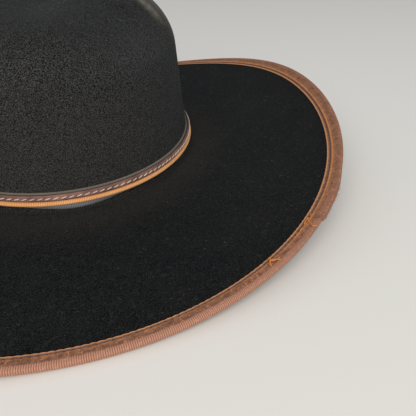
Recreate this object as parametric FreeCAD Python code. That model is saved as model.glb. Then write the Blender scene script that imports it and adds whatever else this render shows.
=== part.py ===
"""Wide-brim western felt hat, built piece by piece in its own frame.

Millimetres. +Z is up, the hat's front faces -Y and the wearer's left is +X. The origin is on the
surface the hat stands on, midway between the ends and the sides of the brim: it stands on the
front and the back of the brim, and the sides curl up.

Every ring is drawn by an angle `turn`, in degrees from the front towards the wearer's left.
Heights inside the functions are measured from the crown's base; `write` moves each finished
piece up so that the lowest edge of the brim binding is at zero.
"""
import FreeCAD, Part
import math
import os

os.makedirs("parts", exist_ok=True)

# ---------------------------------------------------------------- driving dimensions
CROWN_LENGTH = 207.0          # outside of the felt at the base, front to back: about size 7 1/8
CROWN_WIDTH = 172.8           # outside of the felt at the base, side to side
CROWN_HEIGHT = 108.0          # base to the top of the uncreased dome
SHOULDER_HEIGHT = 62.0        # where the straight side starts to round over
CROWN_TAPER = 0.00112         # share of its width that the side loses per millimetre of height
DOME_FULLNESS = 2.34          # 2 is an ellipse, more is a squarer shoulder
FELT = 2.2                    # felt thickness

BRIM_LENGTH = 390.9           # front edge to back edge, over the binding
BRIM_WIDTH = 363.0            # side edge to side edge, over the binding
BRIM_OUTLINE_WAVE = 0.0156    # the outline is a little fuller than an ellipse at 45 degrees
EDGE_RISE_MEAN = 10.1         # height of the brim's edge over the crown's base, all round
EDGE_RISE_SIDE = 20.2         # the sides are this much higher than the mean, the ends lower
EDGE_RISE_CORNER = 0.2
EDGE_SLOPE_END = -2.0         # upward slope of the brim at its front and back edge, degrees
EDGE_SLOPE_SIDE = 40.5        # upward slope of the brim at its side edges, degrees
BREAK_RADIUS = 3.0            # reach of the bend between crown and brim

CREASE_DEPTH = 20.0           # centre crease along the top of the crown
CREASE_HALF_WIDTH = 40.0
CREASE_HALF_LENGTH = 84.0
DENT_DEPTH = 10.0             # side dents at the front of the crown
DENT_TURN = 36.0              # where a dent is deepest, degrees from the front
DENT_FORWARD = 34.0           # how far it fades towards the front, degrees
DENT_BACKWARD = 27.0          # how far it fades towards the side, degrees
DENT_TOP = 110.0
RIDGE_HEIGHT = 1.6            # soft ridge that bounds a dent on the side of the crown
RIDGE_TURN = 66.0
RIDGE_HALF_TURN = 13.0

GAP = 0.08                    # between pieces that lie against each other
BINDING_WIDTH = 8.5           # ribbon showing on each face of the brim
BINDING_THICKNESS = 0.45
BINDING_SEAM_INSET = 1.6      # stitch line to the ribbon's inner edge
THREAD = 0.5

RIBBON_LOW = 3.2              # grosgrain ribbon round the crown
RIBBON_HIGH = 11.0
RIBBON_THICKNESS = 0.5
HATBAND_CLEARANCE = 0.4       # hatband to ribbon, so that the band lifts off freely
BACKING_LOW = 4.3             # tan backing strip of the hatband
BACKING_HIGH = 10.2
BACKING_THICKNESS = 0.8
STRIP_LOW = 7.3               # dark leather strip sewn to the backing
STRIP_HIGH = 10.7
STRIP_THICKNESS = 1.0
BAND_STITCH_HEIGHT = 8.8
BAND_STITCH_COUNT = 150
BAND_STITCH_LENGTH = 2.9
BAND_STITCH_WIDTH = 0.7
LAP_TURN = 116.0              # where the hatband's ends meet
LAP_HALF_TURN = 7.0
LAP_THICKNESS = 0.9

SWEATBAND_LOW = -1.6
SWEATBAND_HIGH = 56.0
SWEATBAND_THICKNESS = 1.0
SWEATBAND_OFFSET = 3.1        # outer felt face to the back of the leather
REED_DIAMETER = 1.6
REED_INSET = 0.7              # centre of the reed above the sweatband's lower edge
BOW_HEIGHT = 9.0              # small ribbon bow at the back of the sweatband
BOW_LENGTH = 18.0
BOW_LOOP_HEIGHT = 6.0
BOW_THICKNESS = 1.6
LINER_OFFSET = 2.6            # outer felt face to the back of the lining
LINER_THICKNESS = 0.35
LINER_LOW = 42.0
TIP_LEVEL = 3.34              # profile position where the tip is sewn to the side of the lining
TIP_SEAM_GAP = 0.01
TOP_LEVEL = 3.97              # profile position of the small flat centre of the crown

SPLICE_TURN = 36.6            # where the ends of the binding are joined
SPLICE_STITCH_DIAMETER = 0.6

RING_POINTS = 72              # points that draw each ring


# ---------------------------------------------------------------- curves and windows
def ellipse_radius(half_length, half_width, turn):
    """Distance from the centre to an oval, long along Y, at an angle from the front."""
    angle = math.radians(turn)
    return 1.0 / math.hypot(math.cos(angle) / half_length, math.sin(angle) / half_width)


def window(offset, reach):
    """Smooth hump: 1 at no offset, 0 from `reach` outwards."""
    if abs(offset) >= reach:
        return 0.0
    return math.cos(0.5 * math.pi * offset / reach) ** 2


def outward(turn):
    """Level unit vector away from the crown's axis."""
    angle = math.radians(turn)
    return FreeCAD.Vector(math.sin(angle), -math.cos(angle), 0.0)


# ---------------------------------------------------------------- felt surface
def crown_base_radius(turn):
    return ellipse_radius(CROWN_LENGTH / 2, CROWN_WIDTH / 2, turn)


def brim_edge_radius(turn):
    wave = 1.0 - BRIM_OUTLINE_WAVE * math.cos(4 * math.radians(turn))
    return wave * ellipse_radius(BRIM_LENGTH / 2 / (1 - BRIM_OUTLINE_WAVE),
                                 BRIM_WIDTH / 2 / (1 - BRIM_OUTLINE_WAVE), turn)


def edge_slope(turn):
    """Upward slope of the brim at its edge, in radians."""
    side_share = math.sin(math.radians(turn)) ** 2
    return math.radians(EDGE_SLOPE_END + (EDGE_SLOPE_SIDE - EDGE_SLOPE_END) * side_share)


def brim_height(radius, turn):
    """Height of the brim's upper face, which curls up towards the edge."""
    angle = math.radians(turn)
    start = crown_base_radius(turn)
    width = brim_edge_radius(turn) - start
    rise = (EDGE_RISE_MEAN - EDGE_RISE_SIDE * math.cos(2 * angle)
            + EDGE_RISE_CORNER * math.cos(4 * angle))
    curl = 0.5 * (math.tan(edge_slope(turn)) * width - rise)
    share = (radius - start) / width
    return (rise - curl) * share + curl * share ** 3


def dent_pull(turn, height):
    """How far the crown's side stands in (or, on the ridge, out) at a place."""
    around = abs((turn + 180.0) % 360.0 - 180.0)
    reach = DENT_FORWARD if around < DENT_TURN else DENT_BACKWARD
    middle = 0.5 * (SHOULDER_HEIGHT + DENT_TOP)
    upright = window(height - middle, 0.5 * (DENT_TOP - SHOULDER_HEIGHT))
    return (DENT_DEPTH * window(around - DENT_TURN, reach)
            - RIDGE_HEIGHT * window(around - RIDGE_TURN, RIDGE_HALF_TURN)) * upright


def crown_point(scale, height, turn):
    """A point of the crown from its share of the base oval, creased and dented."""
    radius = crown_base_radius(turn) * scale * (1.0 - CROWN_TAPER * height)
    centre_share = min(1.0, radius / (0.35 * CROWN_WIDTH))
    radius -= dent_pull(turn, height) * centre_share
    point = outward(turn) * radius
    crease = window(point.x, CREASE_HALF_WIDTH) * window(point.y, CREASE_HALF_LENGTH) ** 0.5
    point.z = height - CREASE_DEPTH * crease
    return point


def felt_point(level, turn):
    """The felt's upper face. Level 0 to 1 is the brim from its edge inwards, 1 to 2 the bend
    into the crown, 2 to 3 the crown's straight side, 3 to 4 the shoulder and the top."""
    start = crown_base_radius(turn)
    felt_edge = brim_edge_radius(turn) - BINDING_THICKNESS - GAP
    if level <= 1.0:
        radius = felt_edge + (start + BREAK_RADIUS - felt_edge) * level
        point = outward(turn) * radius
        point.z = brim_height(radius, turn)
        return point
    if level < 2.0:
        share = level - 1.0
        low = felt_point(1.0, turn)
        corner = outward(turn) * start
        high = crown_point(1.0, BREAK_RADIUS, turn)
        return low * (1 - share) ** 2 + corner * (2 * share * (1 - share)) + high * share ** 2
    if level <= 3.0:
        height = BREAK_RADIUS + (SHOULDER_HEIGHT - BREAK_RADIUS) * (level - 2.0)
        return crown_point(1.0, height, turn)
    angle = 0.5 * math.pi * (level - 3.0)
    lift = math.sin(angle) ** (2.0 / DOME_FULLNESS)
    height = SHOULDER_HEIGHT + (CROWN_HEIGHT - SHOULDER_HEIGHT) * lift
    return crown_point(math.cos(angle), height, turn)


def felt_normal(level, turn):
    """Unit normal of the upper face, up on the brim and outwards on the crown."""
    step = 0.01
    along = felt_point(level + step, turn) - felt_point(level - step, turn)
    around = felt_point(level, turn + 1.0) - felt_point(level, turn - 1.0)
    normal = around.cross(along)
    return normal.normalize()


def felt_offset(level, turn, depth):
    """A point `depth` below the felt's upper face."""
    return felt_point(level, turn) - felt_normal(level, turn) * depth


# ---------------------------------------------------------------- solids from rings
def ring(place, low_turn=0.0):
    """Closed smooth curve through place(turn)."""
    points = []
    for step in range(RING_POINTS):
        points.append(place(low_turn + 360.0 * step / RING_POINTS))
    curve = Part.BSplineCurve()
    curve.interpolate(Points=points, PeriodicFlag=True)
    return Part.Wire([curve.toShape()])


def solid_from(faces):
    """One closed solid from faces that meet along shared curves."""
    shell = Part.makeShell(faces)
    if not shell.isClosed():
        shell.sewShape()
        shell = Part.makeShell(shell.Faces)
    solid = Part.makeSolid(shell)
    solid.fix(1e-4, 1e-4, 1e-4)
    if solid.Volume < 0:
        solid.reverse()
    return solid


def ring_solid(corners):
    """A closed hoop whose section has one corner for each function place(turn)."""
    wires = [ring(place) for place in corners]
    faces = []
    for first, second in zip(wires, wires[1:] + wires[:1]):
        faces.append(Part.makeRuledSurface(first.Edges[0], second.Edges[0]))
    return solid_from(faces)


def hoop_segment(corners, low_turn, high_turn, steps=8):
    """A length of a hoop with flat ends, from place(turn) functions in section order."""
    curves = []
    for place in corners:
        turns = [low_turn + (high_turn - low_turn) * step / steps for step in range(steps + 1)]
        curve = Part.BSplineCurve()
        curve.interpolate(Points=[place(turn) for turn in turns])
        curves.append(curve.toShape())
    faces = []
    for first, second in zip(curves, curves[1:] + curves[:1]):
        faces.append(Part.makeRuledSurface(first, second))
    for end in (0, -1):
        outline = [curve.Vertexes[end].Point for curve in curves]
        faces.append(Part.Face(Part.makePolygon(outline + outline[:1])))
    return solid_from(faces)


def skin(levels, depth):
    """Smooth face through the rings at these levels, `depth` below the felt's upper face."""
    wires = [ring(lambda turn, level=level: felt_offset(level, turn, depth)) for level in levels]
    return Part.makeLoft(wires, False, False).Faces


def end_strip(level, near, far):
    """Narrow face that joins two skins along one level."""
    edges = [ring(lambda turn, depth=depth: felt_offset(level, turn, depth)).Edges[0]
             for depth in (near, far)]
    return Part.makeRuledSurface(edges[0], edges[1])


def level_ring(level, depth):
    """A ring at the top of the crown, made level so that a flat disc fills it."""
    height = felt_offset(level, 0.0, depth).z

    def place(turn):
        point = felt_offset(level, turn, depth)
        return FreeCAD.Vector(point.x, point.y, height)

    return ring(place)


def top_skin(levels, depth):
    """A skin over the top of the crown, closed at its centre."""
    wires = [ring(lambda turn, level=level: felt_offset(level, turn, depth)) for level in levels]
    last = level_ring(TOP_LEVEL, depth)
    return Part.makeLoft(wires + [last], False, False).Faces + [Part.Face(last)]


def steps_between(low, high, count):
    return [low + (high - low) * step / count for step in range(count + 1)]


# ---------------------------------------------------------------- felt and its binding
def felt_body():
    """Crown and brim, blocked from one piece of felt."""
    faces = []
    for depth in (0.0, FELT):
        faces.extend(skin(steps_between(0.0, 1.0, 10), depth))
        faces.extend(skin(steps_between(1.0, 2.0, 4), depth))
        faces.extend(skin(steps_between(2.0, 3.0, 4), depth))
        faces.extend(top_skin(steps_between(3.0, 3.9, 15), depth))
    faces.append(end_strip(0.0, 0.0, FELT))
    return solid_from(faces)


def edge_place(inset, height):
    """Place on the brim's edge section: in from the outermost ribbon along the felt, and up
    from the middle of the felt."""
    def place(turn):
        felt_edge = brim_edge_radius(turn) - BINDING_THICKNESS - GAP
        width = felt_edge - crown_base_radius(turn) - BREAK_RADIUS
        level = (inset - BINDING_THICKNESS - GAP) * math.cos(edge_slope(turn)) / width
        return felt_offset(level, turn, FELT / 2 - height)
    return place


def brim_binding():
    """Grosgrain ribbon folded over the brim's edge."""
    near = FELT / 2 + GAP
    far = near + BINDING_THICKNESS
    middle = BINDING_WIDTH / 2
    corners = [
        edge_place(BINDING_WIDTH, far), edge_place(middle, far), edge_place(0.6, far),
        edge_place(0.0, 0.6 * far), edge_place(0.0, -0.6 * far), edge_place(0.6, -far),
        edge_place(middle, -far), edge_place(BINDING_WIDTH, -far),
        edge_place(BINDING_WIDTH, -near), edge_place(middle, -near),
        edge_place(BINDING_THICKNESS, -near), edge_place(BINDING_THICKNESS, near),
        edge_place(middle, near), edge_place(BINDING_WIDTH, near),
    ]
    return ring_solid(corners)


def binding_stitching():
    """Lockstitch through ribbon and felt: one line of flattened thread above, one below."""
    inset = BINDING_WIDTH - BINDING_SEAM_INSET
    face = FELT / 2 + GAP + BINDING_THICKNESS + 0.02
    lines = []
    for side in (1, -1):
        lines.append(ring_solid([
            edge_place(inset - THREAD / 2, side * face),
            edge_place(inset + THREAD / 2, side * face),
            edge_place(inset + THREAD / 2, side * (face + THREAD / 2)),
            edge_place(inset - THREAD / 2, side * (face + THREAD / 2)),
        ]))
    return Part.makeCompound(lines)


def thread_length(start, end, diameter):
    direction = end - start
    return Part.makeCylinder(diameter / 2, direction.Length, start, direction)


def splice_thread():
    """Hand stitches that close the join of the binding."""
    height = FELT / 2 + GAP + BINDING_THICKNESS + SPLICE_STITCH_DIAMETER / 2 + 0.05
    stitches = [
        (SPLICE_TURN + 0.3, 5.8, SPLICE_TURN - 0.1, 3.4),
        (SPLICE_TURN - 0.2, 3.2, SPLICE_TURN - 0.5, 1.0),
        (SPLICE_TURN - 9.7, 5.8, SPLICE_TURN - 8.9, 4.2),
        (SPLICE_TURN - 10.0, 5.2, SPLICE_TURN - 10.6, 3.6),
    ]
    threads = []
    for start_turn, start_inset, end_turn, end_inset in stitches:
        start = edge_place(start_inset, height)(start_turn)
        end = edge_place(end_inset, height)(end_turn)
        threads.append(thread_length(start, end, SPLICE_STITCH_DIAMETER))
    return Part.makeCompound(threads)


# ---------------------------------------------------------------- trim round the crown
def beside_crown(offset, height):
    """Place beside the crown's straight side, `offset` outside the felt's outer face."""
    def place(turn):
        radius = crown_base_radius(turn) * (1.0 - CROWN_TAPER * height) + offset
        point = outward(turn) * radius
        point.z = height
        return point
    return place


def crown_hoop(offset, thickness, low, high):
    """A band round the crown's side, thick outwards from its offset."""
    return [
        beside_crown(offset, low), beside_crown(offset + thickness, low),
        beside_crown(offset + thickness, high), beside_crown(offset, high),
    ]


def ribbon_face():
    return GAP + RIBBON_THICKNESS


def backing_offset():
    return ribbon_face() + HATBAND_CLEARANCE


def strip_offset():
    return backing_offset() + BACKING_THICKNESS + GAP


def strip_face():
    return strip_offset() + STRIP_THICKNESS


def band_ribbon():
    """Grosgrain ribbon that covers the foot of the crown."""
    return ring_solid(crown_hoop(GAP, RIBBON_THICKNESS, RIBBON_LOW, RIBBON_HIGH))


def hatband_backing():
    """Tan ribbed strip behind the leather, showing below it."""
    return ring_solid(crown_hoop(backing_offset(), BACKING_THICKNESS, BACKING_LOW, BACKING_HIGH))


def hatband_strip():
    """Dark leather strip on the face of the hatband."""
    return ring_solid(crown_hoop(strip_offset(), STRIP_THICKNESS, STRIP_LOW, STRIP_HIGH))


def hatband_stitching():
    """Running stitch along the leather strip, one solid for each stitch."""
    stitches = []
    place = beside_crown(strip_face() + 0.03, BAND_STITCH_HEIGHT)
    for index in range(BAND_STITCH_COUNT):
        turn = 360.0 * (index + 0.5) / BAND_STITCH_COUNT
        if abs(turn - LAP_TURN) < LAP_HALF_TURN + 1.5:
            continue
        tangent = (place(turn + 0.5) - place(turn - 0.5)).normalize()
        away = tangent.cross(FreeCAD.Vector(0, 0, 1))
        box = Part.makeBox(BAND_STITCH_LENGTH, BAND_STITCH_WIDTH / 2, BAND_STITCH_WIDTH,
                           FreeCAD.Vector(-BAND_STITCH_LENGTH / 2, 0, -BAND_STITCH_WIDTH / 2))
        turned = FreeCAD.Rotation(tangent, away, FreeCAD.Vector(0, 0, 1), "XYZ")
        box.Placement = FreeCAD.Placement(place(turn), turned)
        stitches.append(box)
    return Part.makeCompound(stitches)


def hatband_lap():
    """The strip's free end, lapped over its start and stitched down."""
    corners = crown_hoop(strip_face() + GAP, LAP_THICKNESS, STRIP_LOW - 0.4, STRIP_HIGH + 0.4)
    return hoop_segment(corners, LAP_TURN - LAP_HALF_TURN, LAP_TURN + LAP_HALF_TURN)


# ---------------------------------------------------------------- inside the crown
def sweatband():
    """Leather band that meets the head, turned up inside the crown."""
    return ring_solid(crown_hoop(-SWEATBAND_OFFSET, -SWEATBAND_THICKNESS,
                                 SWEATBAND_LOW, SWEATBAND_HIGH))


def sweatband_reed():
    """Round plastic reed that stiffens the lower edge of the sweatband."""
    radius = REED_DIAMETER / 2
    offset = -SWEATBAND_OFFSET + radius + GAP
    corners = []
    for step in range(8):
        angle = 2 * math.pi * step / 8
        corners.append(beside_crown(offset + radius * math.cos(angle),
                                    SWEATBAND_LOW + REED_INSET + radius * math.sin(angle)))
    return ring_solid(corners)


def sweatband_stitching():
    """Thread line above the reed, on the face of the sweatband."""
    face = -SWEATBAND_OFFSET - SWEATBAND_THICKNESS - 0.03
    return ring_solid(crown_hoop(face, -THREAD, 2.0, 2.0 + THREAD))


def sweatband_bow():
    """Flat ribbon bow where the sweatband's ends meet at the back."""
    face = -SWEATBAND_OFFSET - SWEATBAND_THICKNESS - GAP
    centre = beside_crown(face, BOW_HEIGHT)(180.0)
    half_length = BOW_LENGTH / 2
    half_loop = BOW_LOOP_HEIGHT / 2
    outline = [
        (-half_length, -half_loop), (-1.5, -1.0), (1.5, -1.0), (half_length, -half_loop),
        (half_length, half_loop), (1.5, 1.0), (-1.5, 1.0), (-half_length, half_loop),
    ]
    depth = centre.y - 1.0
    points = [FreeCAD.Vector(x, depth, centre.z + z) for x, z in outline]
    loops = Part.Face(Part.makePolygon(points + points[:1]))
    return loops.extrude(FreeCAD.Vector(0, -BOW_THICKNESS, 0))


def liner_side():
    """Satin wall of the lining, from behind the sweatband to the tip seam."""
    low_level = 2.0 + (LINER_LOW - BREAK_RADIUS) / (SHOULDER_HEIGHT - BREAK_RADIUS)
    near = LINER_OFFSET
    far = LINER_OFFSET + LINER_THICKNESS
    last = TIP_LEVEL - TIP_SEAM_GAP
    faces = []
    for depth in (near, far):
        faces.extend(skin([low_level, 0.5 * (low_level + 3.0), 3.0], depth))
        faces.extend(skin(steps_between(3.0, last, 6), depth))
    faces.append(end_strip(low_level, near, far))
    faces.append(end_strip(last, near, far))
    return solid_from(faces)


def liner_tip():
    """Oval satin tip under the top of the crown."""
    near = LINER_OFFSET
    far = LINER_OFFSET + LINER_THICKNESS
    faces = []
    for depth in (near, far):
        faces.extend(top_skin(steps_between(TIP_LEVEL, 3.9, 9), depth))
    faces.append(end_strip(TIP_LEVEL, near, far))
    return solid_from(faces)


# ---------------------------------------------------------------- build
def lowest_edge():
    """Lowest point of the binding's underside, below the crown's base."""
    low = FELT / 2 + GAP + BINDING_THICKNESS
    places = [edge_place(inset, -low) for inset in (0.6, BINDING_WIDTH / 2, BINDING_WIDTH)]
    return min(place(turn).z for place in places for turn in range(0, 360, 2))


PIECES = [
    felt_body, brim_binding, binding_stitching, splice_thread, band_ribbon,
    hatband_backing, hatband_strip, hatband_stitching, hatband_lap,
    sweatband, sweatband_reed, sweatband_stitching, sweatband_bow, liner_side, liner_tip,
]


def write(make, rise):
    shape = make()
    shape.translate(FreeCAD.Vector(0, 0, rise))
    shape.exportStep("parts/" + make.__name__ + ".step")
    box = shape.BoundBox
    print("%-20s solids %3d valid %s volume %9.1f x %.1f..%.1f y %.1f..%.1f z %.2f..%.2f" % (
        make.__name__, len(shape.Solids), shape.isValid(), shape.Volume,
        box.XMin, box.XMax, box.YMin, box.YMax, box.ZMin, box.ZMax))


crown_base_height = -lowest_edge()
print("crown base stands %.2f mm above the rest plane" % crown_base_height)
for piece in PIECES:
    write(piece, crown_base_height)
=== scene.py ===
"""Looks of the wide-brim felt hat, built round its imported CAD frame.

Shapes are worked out in millimetres and turned into metres when a mesh is made. `turn` is an
angle in degrees from the hat's front (-Y) towards the wearer's left (+X). Heights inside the
shape functions are measured from the foot of the crown.
"""
import bpy
import math
import numpy as np
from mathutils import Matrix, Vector


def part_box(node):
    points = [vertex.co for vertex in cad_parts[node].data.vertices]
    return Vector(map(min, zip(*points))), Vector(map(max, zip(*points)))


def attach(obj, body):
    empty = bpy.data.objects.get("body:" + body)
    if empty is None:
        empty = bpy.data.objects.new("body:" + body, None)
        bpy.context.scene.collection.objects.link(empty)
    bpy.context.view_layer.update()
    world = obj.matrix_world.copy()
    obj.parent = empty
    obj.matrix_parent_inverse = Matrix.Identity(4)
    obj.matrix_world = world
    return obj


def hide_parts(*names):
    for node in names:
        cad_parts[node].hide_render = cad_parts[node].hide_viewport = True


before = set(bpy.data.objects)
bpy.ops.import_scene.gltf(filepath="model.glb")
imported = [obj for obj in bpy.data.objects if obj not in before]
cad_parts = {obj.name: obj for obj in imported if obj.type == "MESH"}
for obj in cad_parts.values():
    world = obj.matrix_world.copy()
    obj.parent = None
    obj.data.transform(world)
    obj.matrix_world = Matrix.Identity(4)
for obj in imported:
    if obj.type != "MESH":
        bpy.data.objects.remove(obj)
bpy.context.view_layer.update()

MM = 0.001
SEED = 7


# ---------------------------------------------------------------- sizes read from the frame
def node_box(node):
    low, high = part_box(node)
    return np.array(low) / MM, np.array(high) / MM


# Sizes that the frame's boxes are read back with: the crown ribbon's thickness, its gap to the
# felt, and the height of its lower edge over the foot of the crown.
RIBBON_THICKNESS = 0.5
RIBBON_GAP = 0.08
RIBBON_FOOT = 3.2
BINDING_THICKNESS = 0.45
FELT = 2.2

CROWN_TAPER = 0.00112

ribbon_low, ribbon_high = node_box("band_ribbon")
binding_high = node_box("brim_binding")[1]
BASE_Z = ribbon_low[2] - RIBBON_FOOT
RIBBON_LEAN = 1.0 - CROWN_TAPER * RIBBON_FOOT
CROWN_HALF_LENGTH = (ribbon_high[1] - RIBBON_THICKNESS - RIBBON_GAP) / RIBBON_LEAN
CROWN_HALF_WIDTH = (ribbon_high[0] - RIBBON_THICKNESS - RIBBON_GAP) / RIBBON_LEAN
BRIM_HALF_LENGTH = binding_high[1]
BRIM_HALF_WIDTH = binding_high[0]

CROWN_HEIGHT = 108.0
SHOULDER_HEIGHT = 62.0
DOME_FULLNESS = 2.34
BRIM_OUTLINE_WAVE = 0.0156
EDGE_RISE_MEAN = 10.1
EDGE_RISE_SIDE = 20.2
EDGE_RISE_CORNER = 0.2
EDGE_SLOPE_END = -2.0
EDGE_SLOPE_SIDE = 40.5
BREAK_RADIUS = 3.0
CREASE_DEPTH = 20.0
CREASE_HALF_WIDTH = 40.0
CREASE_HALF_LENGTH = 84.0
DENT_DEPTH = 10.0
DENT_TURN = 36.0
DENT_FORWARD = 34.0
DENT_BACKWARD = 27.0
DENT_TOP = 110.0
RIDGE_HEIGHT = 1.6
RIDGE_TURN = 66.0
RIDGE_HALF_TURN = 13.0


# ---------------------------------------------------------------- felt surface
def window(offset, reach):
    """Smooth hump: 1 at no offset, 0 from `reach` outwards."""
    share = np.clip(np.abs(offset) / reach, 0.0, 1.0)
    return np.cos(0.5 * np.pi * share) ** 2


def smooth_step(value, low, high):
    share = np.clip((value - low) / (high - low), 0.0, 1.0)
    return share * share * (3.0 - 2.0 * share)


def ellipse_radius(half_length, half_width, turn):
    angle = np.radians(turn)
    return 1.0 / np.hypot(np.cos(angle) / half_length, np.sin(angle) / half_width)


def crown_base_radius(turn):
    return ellipse_radius(CROWN_HALF_LENGTH, CROWN_HALF_WIDTH, turn)


def brim_edge_radius(turn):
    wave = 1.0 - BRIM_OUTLINE_WAVE * np.cos(4 * np.radians(turn))
    fuller = 1.0 - BRIM_OUTLINE_WAVE
    return wave * ellipse_radius(BRIM_HALF_LENGTH / fuller, BRIM_HALF_WIDTH / fuller, turn)


def edge_slope(turn):
    """Upward slope of the brim at its edge, in radians."""
    side_share = np.sin(np.radians(turn)) ** 2
    return np.radians(EDGE_SLOPE_END + (EDGE_SLOPE_SIDE - EDGE_SLOPE_END) * side_share)


def brim_height(radius, turn):
    """Height of the brim's upper face, with the soft waviness of handled felt."""
    angle = np.radians(turn)
    start = crown_base_radius(turn)
    width = brim_edge_radius(turn) - start
    rise = (EDGE_RISE_MEAN - EDGE_RISE_SIDE * np.cos(2 * angle)
            + EDGE_RISE_CORNER * np.cos(4 * angle))
    curl = 0.5 * (np.tan(edge_slope(turn)) * width - rise)
    share = (radius - start) / width
    waviness = 0.35 * np.sin(5 * angle + 0.6) + 0.25 * np.sin(9 * angle + 2.0)
    return (rise - curl) * share + curl * share ** 3 + waviness * window(share - 0.55, 0.38)


def around_front(turn):
    return np.abs((turn + 180.0) % 360.0 - 180.0)


def dent_pull(turn, height):
    around = around_front(turn)
    reach = np.where(around < DENT_TURN, DENT_FORWARD, DENT_BACKWARD)
    upright = window(height - 0.5 * (SHOULDER_HEIGHT + DENT_TOP), 0.5 * (DENT_TOP - SHOULDER_HEIGHT))
    dent = DENT_DEPTH * window(around - DENT_TURN, reach)
    ridge = RIDGE_HEIGHT * window(around - RIDGE_TURN, RIDGE_HALF_TURN)
    return (dent - ridge) * upright


def crown_points(scale, height, turn):
    radius = crown_base_radius(turn) * scale * (1.0 - CROWN_TAPER * height)
    radius = radius - dent_pull(turn, height) * np.minimum(1.0, radius / (0.7 * CROWN_HALF_WIDTH))
    angle = np.radians(turn)
    x = np.sin(angle) * radius
    y = -np.cos(angle) * radius
    crease = window(x, CREASE_HALF_WIDTH) * np.sqrt(window(y, CREASE_HALF_LENGTH))
    return np.stack([x, y, height - CREASE_DEPTH * crease], -1)


def brim_points(radius, turn):
    angle = np.radians(turn)
    return np.stack([np.sin(angle) * radius, -np.cos(angle) * radius, brim_height(radius, turn)], -1)


def felt_points(levels, turns):
    """Grid of points on the felt's upper face. Level 0 to 1 is the brim from its edge inwards,
    1 to 2 the bend into the crown, 2 to 3 the straight side, 3 to 4 the shoulder and the top."""
    level, turn = np.meshgrid(levels, turns, indexing="ij")
    start = crown_base_radius(turn)
    felt_edge = brim_edge_radius(turn) - BINDING_THICKNESS - RIBBON_GAP
    inner_edge = start + BREAK_RADIUS
    brim_share = np.clip(level, -0.2, 1.0)
    brim = brim_points(felt_edge + (inner_edge - felt_edge) * brim_share, turn)
    bend_share = np.clip(level - 1.0, 0.0, 1.0)[..., None]
    angle = np.radians(turn)
    corner = np.stack([np.sin(angle) * start, -np.cos(angle) * start, 0 * start], -1)
    foot = crown_points(1.0, BREAK_RADIUS + 0 * turn, turn)
    bend = (brim_points(inner_edge, turn) * (1 - bend_share) ** 2
            + corner * 2 * bend_share * (1 - bend_share) + foot * bend_share ** 2)
    side_share = np.clip(level - 2.0, 0.0, 1.0)
    side = crown_points(1.0, BREAK_RADIUS + (SHOULDER_HEIGHT - BREAK_RADIUS) * side_share, turn)
    lean = 0.5 * np.pi * np.clip(level - 3.0, 0.0, 1.0)
    lift = np.sin(lean) ** (2.0 / DOME_FULLNESS)
    dome = crown_points(np.cos(lean), SHOULDER_HEIGHT + (CROWN_HEIGHT - SHOULDER_HEIGHT) * lift, turn)
    pick = level[..., None]
    return np.where(pick <= 1.0, brim, np.where(pick < 2.0, bend, np.where(pick <= 3.0, side, dome)))


def felt_normals(levels, turns):
    """Unit normals of the upper face, up on the brim and outwards on the crown."""
    step = 0.004
    nudge = np.where(np.asarray(levels) + step > 4.0, -step, step)
    here = felt_points(levels, turns)
    along = (felt_points(levels + nudge, turns) - here) / nudge[:, None, None]
    around = felt_points(levels, turns + 0.2) - felt_points(levels, turns - 0.2)
    normal = np.cross(around, along)
    length = np.linalg.norm(normal, axis=-1, keepdims=True)
    return normal / np.maximum(length, 1e-9)


def felt_offset(levels, turns, depth):
    levels = np.asarray(levels, float)
    turns = np.asarray(turns, float)
    return felt_points(levels, turns) - felt_normals(levels, turns) * depth


# ---------------------------------------------------------------- mesh making
def make_object(name, vertices, faces, smooth=True):
    mesh = bpy.data.meshes.new(name)
    mesh.from_pydata([tuple(v) for v in np.asarray(vertices) * MM], [], faces)
    mesh.validate()
    if smooth:
        mesh.shade_smooth()
    made = bpy.data.objects.new(name, mesh)
    bpy.context.scene.collection.objects.link(made)
    return made


def lifted(points):
    """Heights from the crown's foot turned into heights of the frame."""
    raised = np.array(points, float)
    raised[..., 2] += BASE_Z
    return raised


def grid_faces(rows, columns, wrap_rows=False, wrap_columns=True, first=0):
    """Quads of a grid whose points are stored row by row."""
    row_steps = rows if wrap_rows else rows - 1
    column_steps = columns if wrap_columns else columns - 1
    row, column = np.meshgrid(np.arange(row_steps), np.arange(column_steps), indexing="ij")
    next_row = (row + 1) % rows
    next_column = (column + 1) % columns
    quads = np.stack([row * columns + column, row * columns + next_column,
                      next_row * columns + next_column, next_row * columns + column], -1)
    return (quads.reshape(-1, 4) + first).tolist()


def ring_object(name, grid):
    """Closed ring from its section's points, one row of the grid for each."""
    rows, columns = grid.shape[:2]
    faces = grid_faces(rows, columns, wrap_rows=True)
    return make_object(name, lifted(grid).reshape(-1, 3), faces)


def domed_object(name, rows):
    """Closed shell whose first and last rows are small rings, each filled to its centre."""
    count, columns = rows.shape[:2]
    centres = np.array([rows[0].mean(0), rows[-1].mean(0)])
    faces = [face[::-1] for face in grid_faces(count, columns)]
    first_centre = count * columns
    last_ring = (count - 1) * columns
    for column in range(columns):
        after = (column + 1) % columns
        faces.append([first_centre, column, after])
        faces.append([first_centre + 1, last_ring + after, last_ring + column])
    return make_object(name, lifted(np.concatenate([rows.reshape(-1, 3), centres])), faces)


def set_attribute(made, name, values):
    attribute = made.data.attributes.new(name, "FLOAT", "POINT")
    attribute.data.foreach_set("value", np.asarray(values, np.float32).ravel())


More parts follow.
